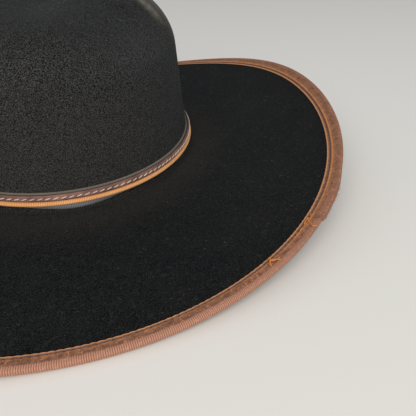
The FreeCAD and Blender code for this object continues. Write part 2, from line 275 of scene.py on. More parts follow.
def tube_batch(name, paths, radii, sides=6):
    """Many short round threads as one mesh. Each path is an array of points."""
    vertices = []
    faces = []
    for path, radius in zip(paths, radii):
        path = np.asarray(path, float)
        radius = np.broadcast_to(radius, len(path))
        tangent = np.gradient(path, axis=0)
        tangent /= np.linalg.norm(tangent, axis=1, keepdims=True)
        helper = np.array([0.0, 0.0, 1.0]) if abs(tangent[0][2]) < 0.9 else np.array([1.0, 0.0, 0.0])
        side = np.cross(tangent, helper)
        side /= np.linalg.norm(side, axis=1, keepdims=True)
        up = np.cross(side, tangent)
        angle = 2 * np.pi * np.arange(sides) / sides
        outward = (np.cos(angle)[None, :, None] * side[:, None]
                   + np.sin(angle)[None, :, None] * up[:, None])
        rings = path[:, None] + radius[:, None, None] * outward
        first = len(vertices)
        vertices.extend(rings.reshape(-1, 3).tolist())
        faces.extend(grid_faces(len(path), sides, first=first))
        faces.append(list(range(first, first + sides))[::-1])
        last = first + (len(path) - 1) * sides
        faces.append(list(range(last, last + sides)))
    return make_object(name, lifted(np.array(vertices)), faces)


# ---------------------------------------------------------------- material kit
class Paint:
    """Small helper that builds one procedural material."""

    def __init__(self, name):
        self.material = bpy.data.materials.new(name)
        self.material.use_nodes = True
        self.nodes = self.material.node_tree.nodes
        self.links = self.material.node_tree.links
        self.shader = self.nodes["Principled BSDF"]
        self.place = self.node("ShaderNodeTexCoord").outputs["Object"]

    def node(self, kind, inputs=None, **settings):
        made = self.nodes.new(kind)
        for key, value in settings.items():
            setattr(made, key, value)
        for key, value in (inputs or {}).items():
            self.join(value, made.inputs[key])
        return made

    def join(self, value, socket):
        if isinstance(value, bpy.types.NodeSocket):
            self.links.new(value, socket)
        else:
            socket.default_value = value

    def set(self, **values):
        for key, value in values.items():
            self.join(value, self.shader.inputs[key.replace("_", " ")])

    def noise(self, scale, detail=3.0, roughness=0.5, distortion=0.0, stretch=None):
        place = self.place
        if stretch:
            place = self.node("ShaderNodeMapping", {"Vector": place, "Scale": stretch}).outputs["Vector"]
        return self.node("ShaderNodeTexNoise", {"Vector": place, "Scale": scale, "Detail": detail,
                                                "Roughness": roughness, "Distortion": distortion}
                         ).outputs["Fac"]

    def attribute(self, name):
        return self.node("ShaderNodeAttribute", attribute_name=name).outputs["Fac"]

    def levels(self, value, low, high, to_low=0.0, to_high=1.0):
        return self.node("ShaderNodeMapRange", {"Value": value, "From Min": low, "From Max": high,
                                                "To Min": to_low, "To Max": to_high}
                         ).outputs["Result"]

    def math(self, operation, first, second=0.0):
        made = self.node("ShaderNodeMath", operation=operation)
        self.join(first, made.inputs[0])
        self.join(second, made.inputs[1])
        return made.outputs[0]

    def mix(self, share, first, second, blend="MIX"):
        made = self.node("ShaderNodeMix", data_type="RGBA", blend_type=blend)
        self.join(share, made.inputs["Factor"])
        self.join(first, made.inputs[6])
        self.join(second, made.inputs[7])
        return made.outputs[2]

    def bump(self, height, strength, distance, below=None):
        inputs = {"Height": height, "Strength": strength, "Distance": distance}
        if below is not None:
            inputs["Normal"] = below
        return self.node("ShaderNodeBump", inputs).outputs["Normal"]


def rgb(red, green, blue):
    """Display colour, 0 to 255, as the linear colour that a shader takes."""
    def linear(value):
        value /= 255.0
        return value / 12.92 if value <= 0.04045 else ((value + 0.055) / 1.055) ** 2.4
    return (linear(red), linear(green), linear(blue), 1.0)


# ---------------------------------------------------------------- materials
def felt_material():
    paint = Paint("felt")
    speckle = paint.noise(1900.0, 2.0, 0.6)
    clump = paint.noise(420.0, 3.0, 0.6, 0.8)
    mottle = paint.noise(60.0, 4.0, 0.6)
    grain = paint.levels(speckle, 0.42, 0.68)
    brim = paint.mix(grain, rgb(0, 0, 1), rgb(40, 42, 43))
    crown = paint.mix(grain, rgb(17, 18, 18), rgb(82, 83, 83))
    # Crown felt slightly greyer than the brim's, painted darker towards the top as painted shade.
    colour = paint.mix(paint.attribute("crown"), brim, crown)
    colour = paint.mix(paint.levels(clump, 0.56, 0.7, 0.0, 0.35), colour, rgb(52, 53, 53))
    colour = paint.mix(paint.levels(mottle, 0.42, 0.7, 0.0, 0.22), colour, rgb(38, 38, 36))
    # Lighter felt on the crown's ridges and shoulder: abraded nap with a painted highlight on the ridges,
    # and painted light on the shoulder beyond.
    rub_and_highlight = paint.math("MULTIPLY", paint.attribute("wear_and_highlight"), paint.levels(clump, 0.3, 0.62, 0.45, 1.0))
    colour = paint.mix(rub_and_highlight, colour, rgb(122, 117, 106))
    # Brownish lighter felt by the crown's foot and on its front: dusty felt with painted warm light.
    dust_and_warm_light = paint.math("MULTIPLY", paint.attribute("dust_and_warm_light"), paint.levels(speckle, 0.35, 0.7, 0.3, 1.0))
    colour = paint.mix(dust_and_warm_light, colour, rgb(62, 57, 49))
    rough = paint.bump(speckle, 0.9, 0.0006)
    rough = paint.bump(clump, 0.45, 0.0007, rough)
    paint.set(Base_Color=colour, Roughness=0.95, Sheen_Weight=0.04, Sheen_Roughness=0.55,
              Sheen_Tint=rgb(205, 208, 214), Normal=rough)
    paint.shader.inputs["Specular IOR Level"].default_value = 0.06
    return paint.material


def plain_material(name, colour, roughness=0.7):
    paint = Paint(name)
    shade = paint.noise(300.0, 3.0)
    darker = tuple(0.7 * part for part in colour[:3]) + (1.0,)
    paint.set(Base_Color=paint.mix(paint.levels(shade, 0.3, 0.7), darker, colour), Roughness=roughness,
              Normal=paint.bump(shade, 0.3, 0.0003))
    return paint.material


# ---------------------------------------------------------------- felt
# Where the crown's felt is painted lighter. On the front ridge and the top crease's edges it is abraded nap
# with a painted highlight. On the shoulder beyond the front ridge it is painted light where that side faces
# the lamps.
RIDGE_WEAR_AND_HIGHLIGHT_TURN = 59.0
RIDGE_WEAR_AND_HIGHLIGHT_HEIGHT = 90.0
LIT_SHOULDER_HEIGHT = 88.0
TOP_WEAR_AND_HIGHLIGHT_OFFSET = 43.0


def felt_marks(levels, turns, points):
    """Shares at each point of lighter felt (abraded nap with a painted highlight on the ridges, painted
    light on the shoulder beyond), of dusty felt with painted warm light, and of the crown's slightly greyer
    felt, painted in shade towards the top.
    """
    level, turn = np.meshgrid(levels, turns, indexing="ij")
    around = around_front(turn)
    from_axis = np.hypot(points[..., 0], points[..., 1])
    outward = smooth_step(from_axis, 36.0, 62.0)
    # Front ridge: abraded nap with a painted highlight.
    ridge = window(around - RIDGE_WEAR_AND_HIGHLIGHT_TURN, 5.0) * window(points[..., 2] - RIDGE_WEAR_AND_HIGHLIGHT_HEIGHT, 15.0) * outward
    # Painted light: the shoulder beyond the front ridge is lighter where it faces the lamps.
    beyond = smooth_step(around, 58.0, 68.0) * smooth_step(around, 150.0, 100.0)
    shoulder = 0.5 * beyond * window(points[..., 2] - LIT_SHOULDER_HEIGHT, 34.0) * outward
    across = np.abs(points[..., 0])
    # Edges of the top's crease: abraded nap with a painted highlight.
    top_ridge = (0.4 * window(across - TOP_WEAR_AND_HIGHLIGHT_OFFSET, 13.0) * smooth_step(points[..., 2], 84.0, 94.0)
                 * (level > 3.0) * smooth_step(around, 44.0, 72.0))
    wear_and_highlight = np.clip(np.maximum(np.maximum(0.85 * ridge, shoulder), top_ridge), 0.0, 1.0)
    beside = from_axis - crown_base_radius(turn)
    # Brim by the crown's foot and the crown's lower front painted lighter and browner: dusty felt with
    # painted warm light.
    dust_and_warm_light = 0.4 * window(beside - 6.0, 26.0) * (level < 1.6)
    dust_and_warm_light = np.maximum(dust_and_warm_light, 0.3 * window(level - 2.4, 0.9) * smooth_step(around, 80.0, 10.0))
    # Crown felt slightly greyer than the brim's; towards the top it is painted darker, as painted shade.
    greyer_felt_and_top_shade = smooth_step(level, 1.0, 2.0) * (1.0 - 0.45 * smooth_step(points[..., 2], 66.0, 92.0))
    return wear_and_highlight, dust_and_warm_light, greyer_felt_and_top_shade


def build_felt():
    turns = np.linspace(0.0, 360.0, 600, endpoint=False)
    upper_levels = np.concatenate([
        np.linspace(0.0, 1.0, 60, endpoint=False), np.linspace(1.0, 2.0, 8, endpoint=False),
        np.linspace(2.0, 3.0, 36, endpoint=False), np.linspace(3.0, 3.97, 70)])
    lower_levels = np.concatenate([
        np.linspace(0.0, 1.0, 40, endpoint=False), np.linspace(1.0, 2.0, 8, endpoint=False),
        np.linspace(2.0, 3.0, 16, endpoint=False), np.linspace(3.0, 3.97, 34)])
    upper = felt_points(upper_levels, turns)
    lower = felt_offset(lower_levels, turns, FELT)
    made = domed_object("felt", np.concatenate([upper[::-1], lower]))
    marks = felt_marks(upper_levels[::-1], turns, upper[::-1])
    for name, upper_values in zip(("wear_and_highlight", "dust_and_warm_light", "crown"), marks):
        below = np.zeros(len(lower_levels) * len(turns) + 2)
        set_attribute(made, name, np.concatenate([upper_values.ravel(), below]))
    made.data.materials.append(felt_material())
    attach(made, "hat")
    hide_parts("felt_body")


LINT_HAIRS = 5000


def build_lint():
    """Short loose hairs and lint caught in the nap, lying on the felt's upper face."""
    random = np.random.default_rng(SEED + 1)
    spots = np.sqrt(random.uniform(0.0, 1.0, LINT_HAIRS))
    on_brim = random.uniform(size=LINT_HAIRS) < 0.5
    levels = np.where(on_brim, 1.0 - spots * 0.93, random.uniform(2.15, 3.9, LINT_HAIRS))
    turns = random.uniform(0.0, 360.0, LINT_HAIRS)
    paths = []
    radii = []
    for level, turn in zip(levels, turns):
        length = (random.gamma(2.4, 0.38) + 0.35) * (1.6 if level > 2.0 else 1.0)
        heading = random.uniform(0.0, 2 * np.pi)
        bend = random.normal(0.0, 0.35)
        centre = felt_points(np.array([level]), np.array([turn]))[0, 0]
        normal = felt_normals(np.array([level]), np.array([turn]))[0, 0]
        side = np.cross(normal, [0.3, 0.5, 0.8])
        side /= np.linalg.norm(side)
        other = np.cross(normal, side)
        share = np.linspace(-0.5, 0.5, 4)
        lean = heading + bend * share * 2
        step = length * (np.cos(lean)[:, None] * side + np.sin(lean)[:, None] * other)
        rise = 0.08 + 0.25 * random.uniform() * (1.0 - 4.0 * share ** 2)
        paths.append(centre + step * share[:, None] + normal * rise[:, None])
        radii.append(random.uniform(0.011, 0.03))
    made = tube_batch("felt_lint", paths, radii, sides=3)
    paint = Paint("lint")
    shade = paint.noise(60.0, 2.0)
    paint.set(Base_Color=paint.mix(paint.levels(shade, 0.4, 0.6), rgb(82, 81, 78), rgb(132, 129, 123)),
              Roughness=0.8)
    made.data.materials.append(paint.material)
    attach(made, "hat")


# ---------------------------------------------------------------- binding
NOSE = 0.95                 # depth of the fold's rounded nose
RIB_PITCH = 0.9
STITCH_PITCH = 3.2
GROOVE = 1.45               # seam's distance from the ribbon's inner edge, before it spreads
SPLICE_TURN = 38.2
RIBBON_WIDTH_END = 6.8
RIBBON_WIDTH_EXTRA = 3.5    # more width along the sides
FINE_TURNS = np.linspace(0.0, 360.0, 3600, endpoint=False)


def edge_length(turns):
    """Distance along the brim's edge at each turn, and the whole length round."""
    points = felt_points(np.array([0.0]), turns)[0]
    steps = np.linalg.norm(np.roll(points, -1, axis=0) - points, axis=1)
    return np.concatenate([[0.0], np.cumsum(steps)[:-1]]), steps.sum()


def even_turns(count):
    """Turns evenly spaced along the brim's edge."""
    along, whole = edge_length(FINE_TURNS)
    wanted = whole * np.arange(count) / count
    return np.interp(wanted, np.append(along, whole), np.append(FINE_TURNS, 360.0)), whole


def edge_places(inset, height, turns, side=1):
    """Points over the brim's edge: `inset` in from the outermost ribbon along the felt, and
    `height` off the felt's upper face (side 1) or lower face (side -1)."""
    def on_felt(inset_here, turn):
        radius = brim_edge_radius(turn) - inset_here * np.cos(edge_slope(turn))
        return brim_points(radius, turn)

    inset = np.broadcast_to(inset, turns.shape)
    here = on_felt(inset, turns)
    inward = on_felt(inset + 0.5, turns) - here
    around = on_felt(inset, turns + 0.2) - here
    normal = np.cross(around, inward)
    normal /= np.linalg.norm(normal, axis=-1, keepdims=True)
    rise = np.broadcast_to(height, turns.shape)[..., None] * side
    return here + normal * (rise if side > 0 else rise - FELT)


def ribbon_width(turns):
    """Width of ribbon folded onto each face: wider where the brim curls up at the sides."""
    return RIBBON_WIDTH_END + RIBBON_WIDTH_EXTRA * np.sin(np.radians(turns)) ** 2


def side_share(turns):
    """0 at the brim's front and back, 1 along its sides."""
    return smooth_step(np.minimum(around_front(turns), around_front(turns + 180.0)), 12.0, 50.0)


def seam_spread(turns):
    """The seam is sewn further from the ribbon's inner edge along the sides."""
    return 0.75 + 0.75 * side_share(turns)


def binding_section():
    """Section of the folded ribbon. Each point is (from, distance, height, side, marks). The
    distance is inwards from the fold ("fold"), or outwards from the ribbon's inner edge ("edge").
    The marks are shares of the colours that the material mixes in there."""
    inner_part = [
        (0.02, 0.06, {"lip": 1.0}), (-0.03, 0.3, {"lip": 1.0}), (0.12, 0.5, {"lip": 1.0}),
        (0.4, 0.54, {"lip": 0.8}), (0.65, 0.48, {"lip": 0.1}), (0.95, 0.36, {"groove": 0.3}),
        (1.25, 0.24, {"groove": 1.0}), (1.45, 0.2, {"groove": 1.0}), (1.65, 0.26, {"groove": 0.8}),
        (1.85, 0.46, {"second": 0.7}), (2.2, 0.54, {"second": 1.0}), (2.6, 0.52, {"second": 0.4}),
        (2.9, 0.5, {}), (3.15, 0.5, {"chain": 1.0}), (3.45, 0.5, {}),
    ]
    fold_part = [
        (3.0, 0.5, {}), (2.6, 0.5, {"weave": 0.25}), (2.2, 0.5, {"weave": 0.8}),
        (1.8, 0.5, {"weave": 1.0}), (1.4, 0.5, {"weave": 1.0}), (1.0, 0.46, {"weave": 1.0}),
    ]
    section = [("edge", *point[:2], 1, point[2]) for point in inner_part]
    section += [("fold", *point[:2], 1, point[2]) for point in fold_part]
    half = 0.5 * FELT + 0.5
    for step in range(9):
        lean = math.pi * (step + 0.6) / 9.2
        section.append(("fold", NOSE - NOSE * math.sin(lean), half * math.cos(lean) - 0.5 * FELT,
                        1, {"weave": 1.0}))
    section += [("fold", *point[:2], -1, point[2]) for point in fold_part[::-2]]
    section += [("edge", *point[:2], -1, point[2]) for point in inner_part[::-2]]
    for side in (-1, 1):
        hidden = [("edge", 0.3, 0.04, side, {}), ("fold", 3.0, 0.04, side, {}),
                  ("fold", 0.6, 0.04, side, {})]
        section += hidden if side < 0 else hidden[::-1]
    return section


def binding_material():
    paint = Paint("binding_ribbon")
    blotch = paint.noise(330.0, 5.0, 0.7)
    fleck = paint.noise(950.0, 2.0, 0.6, 0.6)
    dark_fleck = paint.noise(720.0, 2.0, 0.6, 0.3)
    fine = paint.noise(2600.0, 2.0, 0.7)
    brown = paint.mix(paint.levels(blotch, 0.38, 0.62), rgb(104, 70, 54), rgb(146, 102, 82))
    brown = paint.mix(paint.levels(fleck, 0.56, 0.66, 0.0, 0.75), brown, rgb(196, 128, 72))
    brown = paint.mix(paint.levels(dark_fleck, 0.57, 0.66, 0.0, 0.65), brown, rgb(74, 58, 46))
    # Painted shade and highlight: each rib's crest painted lighter, the valleys between ribs darker.
    ribbed = paint.mix(paint.attribute("rib_shade"), rgb(130, 87, 70), rgb(196, 144, 120))
    ribbed = paint.mix(paint.levels(fleck, 0.58, 0.7, 0.0, 0.35), ribbed, rgb(226, 180, 154))
    # Painted shade: along the brim's sides the lit ribbed colour gives way to duller brown.
    side_shade_share = paint.math("MULTIPLY", paint.attribute("side_shade"), paint.levels(blotch, 0.3, 0.6, 0.7, 1.0))
    ribbed = paint.mix(side_shade_share, ribbed, brown)
    colour = paint.mix(paint.attribute("weave"), brown, ribbed)
    tan = paint.mix(paint.levels(fine, 0.3, 0.7), rgb(192, 130, 88), rgb(228, 166, 118))
    colour = paint.mix(paint.attribute("lip"), colour, tan)
    orange = paint.mix(paint.levels(blotch, 0.3, 0.7), rgb(182, 118, 72), rgb(208, 148, 92))
    colour = paint.mix(paint.attribute("second"), colour, orange)
    colour = paint.mix(paint.attribute("chain"), colour, rgb(196, 126, 66))
    colour = paint.mix(paint.attribute("groove"), colour, rgb(106, 74, 66))
    colour = paint.mix(paint.attribute("hole"), colour, rgb(30, 22, 24))
    normal = paint.bump(fine, 0.4, 0.0002)
    normal = paint.bump(fleck, 0.35, 0.0003, normal)
    paint.set(Base_Color=colour, Roughness=0.84, Sheen_Weight=0.15, Sheen_Roughness=0.5,
              Sheen_Tint=rgb(230, 200, 180), Normal=normal)
    paint.shader.inputs["Specular IOR Level"].default_value = 0.2
    return paint.material


def build_binding():
    whole = edge_length(FINE_TURNS)[1]
    ribs = int(round(whole / RIB_PITCH))
    turns, whole = even_turns(ribs * 4)
    count = len(turns)
    phase = np.tile([0.0, 0.62, 1.0, 0.62], ribs)
    stitches = int(round(whole / STITCH_PITCH))
    stitch_phase = (np.arange(count) * stitches / count) % 1.0
    scallop = np.sin(np.pi * stitch_phase)
    near_hole = window(np.minimum(stitch_phase, 1.0 - stitch_phase), 0.22)
    chain_phase = 0.5 - 0.5 * np.cos(2 * np.pi * np.arange(count) / 6.0)
    over = (turns - SPLICE_TURN) * whole / 360.0
    lap = smooth_step(over, 0.0, 0.5) * smooth_step(over, 46.0, 24.0)
    at_side = side_share(turns)
    width = ribbon_width(turns)
    spread = seam_spread(turns)
    uneven = 0.85 + 0.5 * np.sin(0.9 * turns) * np.sin(0.37 * turns + 1.0)
    # Share of painted shade along the brim's sides.
    side_shade = 0.85 * at_side
    names = ("weave", "lip", "second", "chain", "groove", "hole")
    rows = []
    marks = {name: [] for name in names}
    for origin, distance, height, side, mark in binding_section():
        weave = mark.get("weave", 0.0)
        lip = mark.get("lip", 0.0)
        on_top = 1.0 if height > 0.1 or distance < NOSE else 0.0
        if origin == "edge":
            inset = width - distance * spread + 0.18 * lip * uneven * (scallop - 0.6)
            cover = 0.2 * lap * smooth_step(distance, 2.2, 3.4)
            height = height + 0.1 * lip * scallop - 0.1 * mark.get("groove", 0.0) * near_hole
        else:
            inset = distance - (0.13 * phase + 1.1 * lap) * smooth_step(-distance, -1.6, -0.2)
            cover = 0.2 * lap * on_top
        height = height + 0.16 * weave * phase + 0.06 * mark.get("chain", 0.0) * chain_phase
        rows.append(edge_places(inset, height + cover, turns, side))
        for name in names[:-1]:
            marks[name].append(np.full(count, mark.get(name, 0.0)))
        marks["second"][-1] = marks["second"][-1] * (0.3 + 0.7 * at_side)
        marks["chain"][-1] = marks["chain"][-1] * chain_phase * (0.25 + 0.6 * at_side)
        marks["hole"].append(near_hole * (mark.get("groove", 0.0) > 0.95))
    made = ring_object("binding_ribbon", np.array(rows))
    for name, values in marks.items():
        set_attribute(made, name, np.array(values))
    # Rib phase for the painted shade in the valleys and the painted highlight on the crests.
    set_attribute(made, "rib_shade", np.tile(phase, len(rows)))
    set_attribute(made, "side_shade", np.tile(side_shade, len(rows)))
    made.data.materials.append(binding_material())
    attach(made, "hat")
    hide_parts("brim_binding")


def build_binding_stitches():
    whole = edge_length(FINE_TURNS)[1]
    stitches = int(round(whole / STITCH_PITCH))
    starts = even_turns(stitches)[0]
    reach = 360.0 / stitches
    share = np.linspace(0.16, 0.84, 6)
    arch = np.sin(np.pi * (share - 0.16) / 0.68)
    paths = []
    for side in (1, -1):
        for start in starts:
            turns = start + reach * share
            inset = ribbon_width(turns) - GROOVE * seam_spread(turns)
            paths.append(edge_places(inset, 0.18 + 0.12 * arch, turns, side))
    made = tube_batch("binding_stitches", paths, [0.15 + 0.05 * arch] * len(paths), sides=5)
    made.data.materials.append(plain_material("binding_thread", rgb(116, 80, 70), 0.6))
    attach(made, "hat")
    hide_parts("binding_stitching")


CORNER_ROUNDS = 3


def thread_path(stops):
    """Smooth thread over the binding through (turn, inset, height) stops."""
    rounded = np.array(stops, float)
    for _ in range(CORNER_ROUNDS):
        cut = np.empty((2 * len(rounded) - 2, 3))
        cut[0::2] = 0.75 * rounded[:-1] + 0.25 * rounded[1:]
        cut[1::2] = 0.25 * rounded[:-1] + 0.75 * rounded[1:]
        rounded = np.concatenate([rounded[:1], cut, rounded[-1:]])
    return edge_places(rounded[:, 1], rounded[:, 2], rounded[:, 0])


def build_splice_thread():
    face = 0.72
    runs = [
        [(37.6, 6.6, face - 0.3), (37.4, 6.2, face + 0.3), (36.9, 5.4, face + 0.3), (36.6, 4.2, face + 0.1),
         (36.5, 3.0, face + 0.1), (36.1, 2.0, face + 0.2), (35.9, 1.1, face + 0.2), (36.2, 0.4, face),
         (36.5, -0.1, face - 0.9)],
        [(37.5, 6.0, face), (37.0, 6.2, face + 0.35), (36.4, 6.1, face + 0.2), (36.0, 5.8, face - 0.2)],
        [(35.1, 5.7, face - 0.2), (34.8, 5.4, face + 0.2), (34.5, 5.4, face - 0.2)],
        [(33.8, 5.6, face - 0.2), (33.5, 5.3, face + 0.15), (33.3, 5.2, face - 0.2)],
        [(38.6, 6.3, face - 0.2), (38.4, 6.0, face + 0.15), (38.2, 6.0, face - 0.2)],
        [(27.6, 6.9, face - 0.4), (27.4, 6.4, face + 0.3), (27.1, 5.4, face + 0.4), (27.1, 4.2, face + 0.5),
         (27.6, 3.6, face + 0.4), (28.3, 3.2, face)],
        [(27.0, 5.4, face + 0.2), (26.7, 4.4, face + 0.5), (26.4, 3.4, face + 0.3), (26.5, 2.8, face)],
        [(27.5, 4.4, face + 0.2), (27.7, 3.4, face + 0.6), (27.8, 2.6, face + 0.4), (28.1, 2.1, face)],
        [(27.3, 5.8, face + 0.3), (26.9, 5.3, face + 0.6), (27.0, 4.5, face + 0.7), (27.5, 4.8, face + 0.5)],
    ]
    paths = [thread_path(run) for run in runs]
    made = tube_batch("splice_stitches", paths, [0.3] * len(paths), sides=8)
    made.data.materials.append(plain_material("splice_thread", rgb(226, 140, 52), 0.6))
    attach(made, "hat")
    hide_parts("splice_thread")


def build_fray():
    """Loose yarn ends where the ribbon's cut end lies on the splice."""
    random = np.random.default_rng(SEED)
    paths = []
    for _ in range(20):
        inset = random.uniform(-1.1, 4.4)
        start = SPLICE_TURN + random.uniform(-0.1, 0.3)
        length = random.uniform(0.15, 0.6)
        drift = random.uniform(-0.7, 0.3)
        rise = random.uniform(0.0, 0.5)
        stops = [(start + 0.25, inset, 0.9), (start - 0.4 * length, inset + 0.5 * drift, 0.95 + 0.5 * rise),
                 (start - length, inset + drift, 0.8 + rise)]
        paths.append(thread_path(stops))
    for _ in range(60):
        start = SPLICE_TURN + 7.5 * random.uniform() ** 2
        reach = random.uniform(0.6, 2.0)
        lean = random.uniform(-0.3, 0.3)
        rise = random.uniform(-0.3, 0.4)
        stops = [(start, -0.7, 0.1), (start + 0.5 * lean, -1.0 - 0.5 * reach, 0.2 + 0.6 * rise),
                 (start + lean, -1.0 - reach, 0.2 + rise)]
        paths.append(thread_path(stops))
    made = tube_batch("binding_fray", paths, [0.11] * len(paths), sides=4)
    made.data.materials.append(plain_material("fray", rgb(168, 122, 100), 0.8))
    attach(made, "hat")


# ---------------------------------------------------------------- trim round the crown
def crown_places(offset, height, turns):
    radius = crown_base_radius(turns) * (1.0 - CROWN_TAPER * height) + offset
    angle = np.radians(turns)
    return np.stack([np.sin(angle) * radius, -np.cos(angle) * radius,
                     np.broadcast_to(height, turns.shape)], -1)


def hoop(name, section, turns):
    """A band from (offset, height) arrays, one for each corner of its section."""
    rows = [crown_places(offset, height, turns) for offset, height in section]
    return ring_object(name, np.array(rows))


def ribbed_material(name, dark, light, upper=None):
    paint = Paint(name)
    if upper:
        dark = paint.mix(paint.attribute("upper"), dark, upper[0])
        light = paint.mix(paint.attribute("upper"), light, upper[1])
    rib_shade = paint.attribute("rib_shade")
    fine = paint.noise(2400.0, 2.0, 0.7)
    patch = paint.noise(120.0, 3.0, 0.6)
    # Painted shade and highlight: rib crests lighter, valleys darker.
    colour = paint.mix(rib_shade, dark, light)
    colour = paint.mix(paint.levels(patch, 0.35, 0.7, 0.0, 0.35), colour, dark)
    colour = paint.mix(paint.levels(fine, 0.62, 0.75, 0.0, 0.4), colour, light)
    paint.set(Base_Color=colour, Roughness=0.8, Sheen_Weight=0.12, Sheen_Roughness=0.5,
              Normal=paint.bump(fine, 0.3, 0.0002))
    paint.shader.inputs["Specular IOR Level"].default_value = 0.25
    return paint.material


def bend_reach(height):
    """How far the felt stands out of the crown's straight side in the bend into the brim."""
    share = np.sqrt(np.clip(height, 0.0, BREAK_RADIUS) / BREAK_RADIUS)
    return BREAK_RADIUS * (1.0 - share) ** 2


def ribbed_hoop(name, pitch, low, high, offset, thickness, depth, samples=4, corners=5,
                follow_bend=False, bulge=0.0):
    """A woven band with upright ribs standing `depth` off its face. Its lower half can bulge."""
    whole = 2 * np.pi * math.sqrt(CROWN_HALF_LENGTH * CROWN_HALF_WIDTH)
    ribs = int(round(whole / pitch))
    turns = 360.0 * np.arange(ribs * samples) / (ribs * samples)
    phase = 0.5 - 0.5 * np.cos(2 * np.pi * np.arange(len(turns)) / samples)
    low_edge = low(turns) if callable(low) else low + 0 * turns
    face = offset + thickness - depth + depth * phase
    section = [(offset + 0 * turns, low_edge + 0.1)]
    marks = [phase]
    for step in range(corners + 1):
        share = step / corners
        inner = 0.25 * thickness if step in (0, corners) else 0.0
        rounding = bulge * math.sqrt(max(0.0, 1.0 - (4.0 * share - 1.0) ** 2))
        section.append((face - inner + rounding, low_edge + (high - low_edge) * share
                        + 0.1 * phase * (2 * share - 1) * (step in (0, corners))))
        marks.append(phase)
    section.append((offset + 0 * turns, high - 0.1 + 0 * turns))
    marks.append(phase)
    if follow_bend:
        section = [(out + bend_reach(height), height) for out, height in section]
    made = hoop(name, section, turns)
    # Rib phase for the painted shade in the valleys and the painted highlight on the crests.
    set_attribute(made, "rib_shade", np.array(marks))
    return made


CROWN_RIBBON_LOW = 3.7
CROWN_RIBBON_HIGH = 11.15
CROWN_RIBBON_SAG = 2.5      # how much lower its edge comes near the front
BAND_RIB_PITCH = 0.8


def build_band_ribbon():
    def low_edge(turns):
        signed = (turns + 180.0) % 360.0 - 180.0
        peek = window(signed - 2.5, 19.0) ** 0.8
        return CROWN_RIBBON_LOW - CROWN_RIBBON_SAG * peek

    made = ribbed_hoop("crown_ribbon", BAND_RIB_PITCH, low_edge, CROWN_RIBBON_HIGH, RIBBON_GAP,
                       RIBBON_THICKNESS + 0.35, 0.12, follow_bend=True)
    heights = np.array([vertex.co.z for vertex in made.data.vertices]) / MM - BASE_Z
    set_attribute(made, "upper", smooth_step(heights, 5.0, 9.0))
    made.data.materials.append(ribbed_material("crown_ribbon", rgb(98, 100, 104), rgb(178, 181, 188),
                                               upper=(rgb(84, 78, 70), rgb(128, 120, 107))))
    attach(made, "hat")
    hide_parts("band_ribbon")


BACKING_OFFSET = RIBBON_GAP + RIBBON_THICKNESS + 0.4
BACKING_THICKNESS = 0.8
BACKING_LOW = 4.3
BACKING_HIGH = 8.8
STRIP_OFFSET = BACKING_OFFSET + BACKING_THICKNESS + 0.08
STRIP_THICKNESS = 1.0
STRIP_LEAN = 0.22           # how far the face leans in from its middle to its upper edge
STRIP_LOW = 7.3
STRIP_HIGH = 10.7
BAND_STITCHES = 165
BAND_STITCH_HEIGHT = 8.8
LAP_TURN = 116.0
LAP_HALF_TURN = 7.0


def build_backing():
    made = ribbed_hoop("hatband_tan", BAND_RIB_PITCH, BACKING_LOW, BACKING_HIGH, BACKING_OFFSET,
                       BACKING_THICKNESS, 0.26, corners=12, bulge=1.5)
    heights = np.array([vertex.co.z for vertex in made.data.vertices]) / MM - BASE_Z
    # Painted shade: above the leather strip's lower edge the tan backing is painted dark maroon, under the
    # strip and in the gap behind it.
    set_attribute(made, "upper", smooth_step(heights, 7.2, 7.5))
    made.data.materials.append(ribbed_material("band_backing", rgb(196, 126, 66), rgb(250, 192, 134),
                                               upper=(rgb(48, 30, 28), rgb(76, 50, 44))))
    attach(made, "hatband")
    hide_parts("hatband_backing")


def leather_material(name, dark, light, rim, grain=420.0):
    paint = Paint(name)
    grained = paint.node("ShaderNodeTexVoronoi", {"Vector": paint.place, "Scale": grain * 3.0},
                         feature="DISTANCE_TO_EDGE").outputs["Distance"]
    tone = paint.noise(grain * 0.3, 4.0, 0.6)
    fine = paint.noise(grain * 5.0, 3.0, 0.6)
    edge = paint.attribute("edge")
    colour = paint.mix(paint.levels(tone, 0.3, 0.7), dark, light)
    colour = paint.mix(paint.levels(grained, 0.1, 0.0, 0.0, 0.5), colour, dark)
    colour = paint.mix(paint.math("MULTIPLY", edge, paint.levels(fine, 0.2, 0.5, 0.6, 1.0)), colour, rim)
    normal = paint.bump(grained, 0.35, 0.0002)
    normal = paint.bump(fine, 0.2, 0.0002, normal)
    paint.set(Base_Color=colour, Roughness=paint.levels(tone, 0.3, 0.7, 0.48, 0.62), Normal=normal)
    paint.shader.inputs["Specular IOR Level"].default_value = 0.4
    return paint.material


def strip_section(turns, low, high, offset, thickness, inner_lean=0.0):
    """Rounded leather section with its share of darker edge at each corner. The back's upper
    corner stands `inner_lean` nearer the crown than its lower one."""
    middle = 0.5 * (low + high)
    half = 0.5 * (high - low)
    section = [(offset + 0 * turns, middle - half * 0.92 + 0 * turns)]
    edges = [0.6]
    for step in range(11):
        across = -1.0 + 2.0 * step / 10
        face = thickness * (1.0 - 0.32 * abs(across) ** 5) - STRIP_LEAN * (across + 1.0)
        section.append((offset + face + 0 * turns, middle + half * across + 0 * turns))
        edges.append(abs(across) ** 6)
    section.append((offset - inner_lean + 0 * turns, middle + half * 0.92 + 0 * turns))
    edges.append(0.6)
    return section, edges


